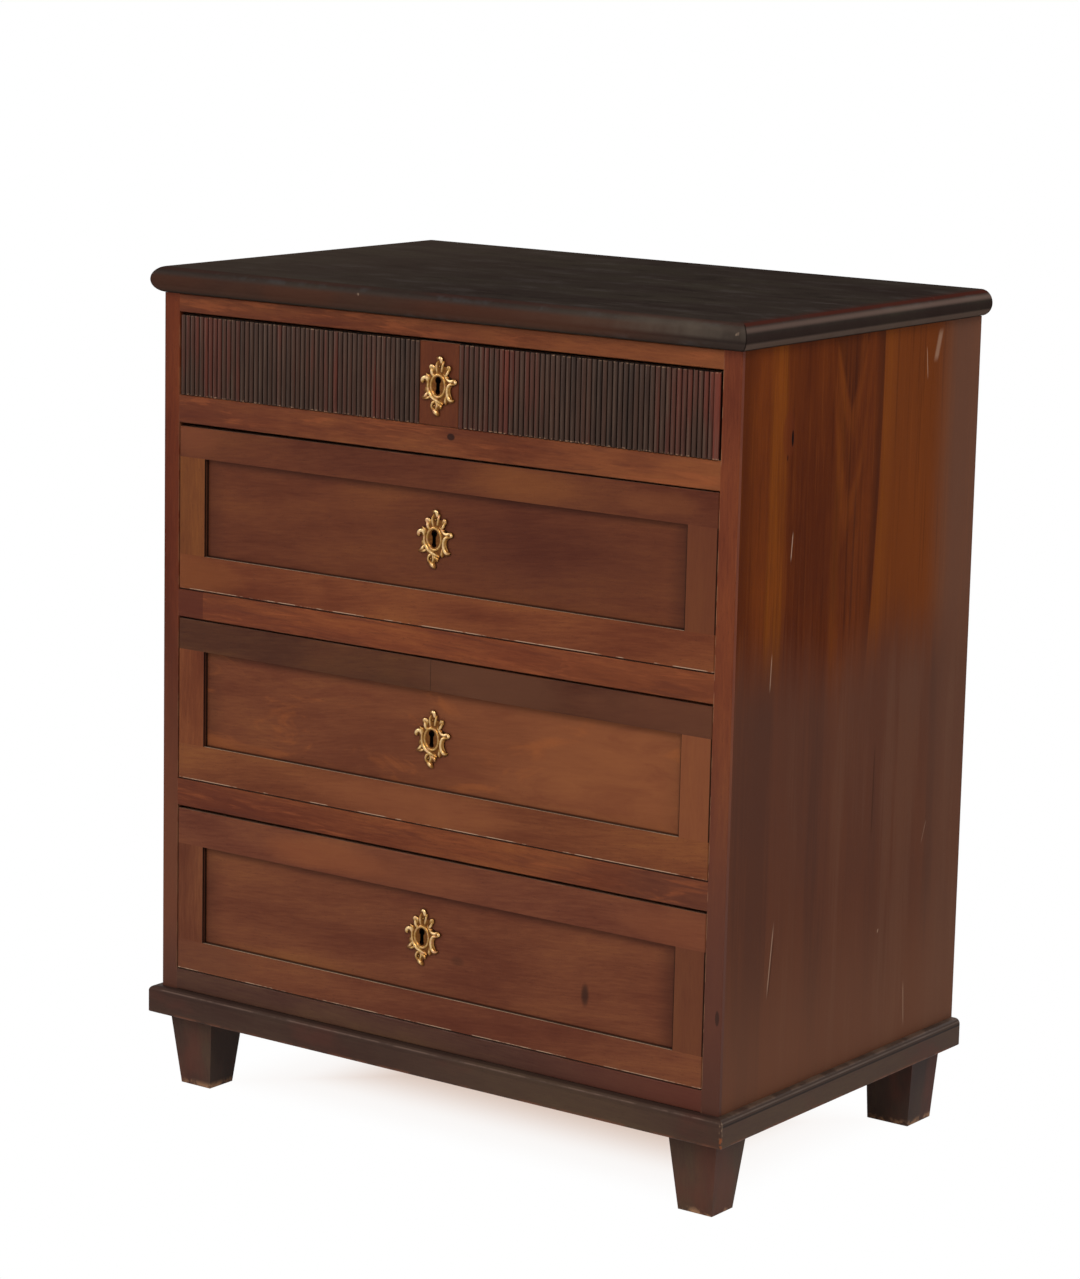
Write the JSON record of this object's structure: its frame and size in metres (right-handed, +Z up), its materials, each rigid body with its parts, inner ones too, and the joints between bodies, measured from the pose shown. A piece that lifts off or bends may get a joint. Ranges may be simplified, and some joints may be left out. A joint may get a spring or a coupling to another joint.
{
  "type": "chest of drawers",
  "caption": "Chest of drawers with a reeded top drawer over deep panelled ones, brass escutcheons, a moulded top and a plinth on tapered feet.",
  "frame": {"origin": "on the floor, midway under the outline of the top", "axes": "+Z up, +X to the right along the front, +Y to the back"},
  "size_m": [0.719, 0.449, 0.86],
  "materials": {
    "top_wood": "near-black stained wood, worn matt with a low sheen on the nose",
    "case_wood": "reddish brown mahogany, old satin polish",
    "side_wood": "reddish brown mahogany with an upright figure, old satin polish",
    "plinth_wood": "dark brown stained wood, worn along the edges",
    "front_wood": "reddish brown mahogany with a level grain, old satin polish",
    "reed_wood": "dark brown reeding with pale worn ends",
    "inner_pine": "bare aged pine",
    "brass": "cast gilt brass, bright on the high parts and dark in the hollows",
    "lock_iron": "dull filed iron"
  },
  "bodies": {
    "carcass": {"back_boards": "inner_pine", "bottom_board": "inner_pine", "drawer_kickers": "inner_pine", "drawer_runners": "inner_pine", "drawer_stops": "inner_pine", "edge_strip_left": "case_wood", "edge_strip_right": "case_wood", "foot_front_left": "plinth_wood", "foot_front_right": "plinth_wood", "foot_rear_left": "plinth_wood", "foot_rear_right": "plinth_wood", "plinth_back": "inner_pine", "plinth_front": "plinth_wood", "plinth_left": "plinth_wood", "plinth_right": "plinth_wood", "rail_1": "case_wood", "rail_2": "case_wood", "rail_3": "case_wood", "rail_bottom": "case_wood", "rail_top": "case_wood", "side_left": "side_wood", "side_right": "side_wood", "top_board": "top_wood"},
    "drawer_1": {"drawer_1_back": "inner_pine", "drawer_1_bottom": "inner_pine", "drawer_1_centre_block": "front_wood", "drawer_1_escutcheon": "brass", "drawer_1_front": "front_wood", "drawer_1_lock_case": "lock_iron", "drawer_1_reeding_left": "reed_wood", "drawer_1_reeding_right": "reed_wood", "drawer_1_sides": "inner_pine"},
    "bolt_1": {"drawer_1_lock_bolt": "lock_iron"},
    "drawer_2": {"drawer_2_back": "inner_pine", "drawer_2_bottom": "inner_pine", "drawer_2_escutcheon": "brass", "drawer_2_frame_ends": "front_wood", "drawer_2_frame_rails": "front_wood", "drawer_2_front": "front_wood", "drawer_2_lock_case": "lock_iron", "drawer_2_sides": "inner_pine"},
    "bolt_2": {"drawer_2_lock_bolt": "lock_iron"},
    "drawer_3": {"drawer_3_back": "inner_pine", "drawer_3_bottom": "inner_pine", "drawer_3_escutcheon": "brass", "drawer_3_frame_ends": "front_wood", "drawer_3_frame_rails": "front_wood", "drawer_3_front": "front_wood", "drawer_3_lock_case": "lock_iron", "drawer_3_sides": "inner_pine"},
    "bolt_3": {"drawer_3_lock_bolt": "lock_iron"},
    "drawer_4": {"drawer_4_back": "inner_pine", "drawer_4_bottom": "inner_pine", "drawer_4_escutcheon": "brass", "drawer_4_frame_ends": "front_wood", "drawer_4_frame_rails": "front_wood", "drawer_4_front": "front_wood", "drawer_4_lock_case": "lock_iron", "drawer_4_sides": "inner_pine"},
    "bolt_4": {"drawer_4_lock_bolt": "lock_iron"}
  },
  "joints": [
    {"name": "drawer_1_slide", "type": "slide", "parent": "carcass", "child": "drawer_1", "axis": [0, -1, 0], "range_m": [0, 0.3]},
    {"name": "bolt_1_slide", "type": "slide", "parent": "drawer_1", "child": "bolt_1", "axis": [0, 0, 1], "range_m": [0, 0.01]},
    {"name": "drawer_2_slide", "type": "slide", "parent": "carcass", "child": "drawer_2", "axis": [0, -1, 0], "range_m": [0, 0.3]},
    {"name": "bolt_2_slide", "type": "slide", "parent": "drawer_2", "child": "bolt_2", "axis": [0, 0, 1], "range_m": [0, 0.01]},
    {"name": "drawer_3_slide", "type": "slide", "parent": "carcass", "child": "drawer_3", "axis": [0, -1, 0], "range_m": [0, 0.3]},
    {"name": "bolt_3_slide", "type": "slide", "parent": "drawer_3", "child": "bolt_3", "axis": [0, 0, 1], "range_m": [0, 0.01]},
    {"name": "drawer_4_slide", "type": "slide", "parent": "carcass", "child": "drawer_4", "axis": [0, -1, 0], "range_m": [0, 0.3]},
    {"name": "bolt_4_slide", "type": "slide", "parent": "drawer_4", "child": "bolt_4", "axis": [0, 0, 1], "range_m": [0, 0.01]}
  ]
}
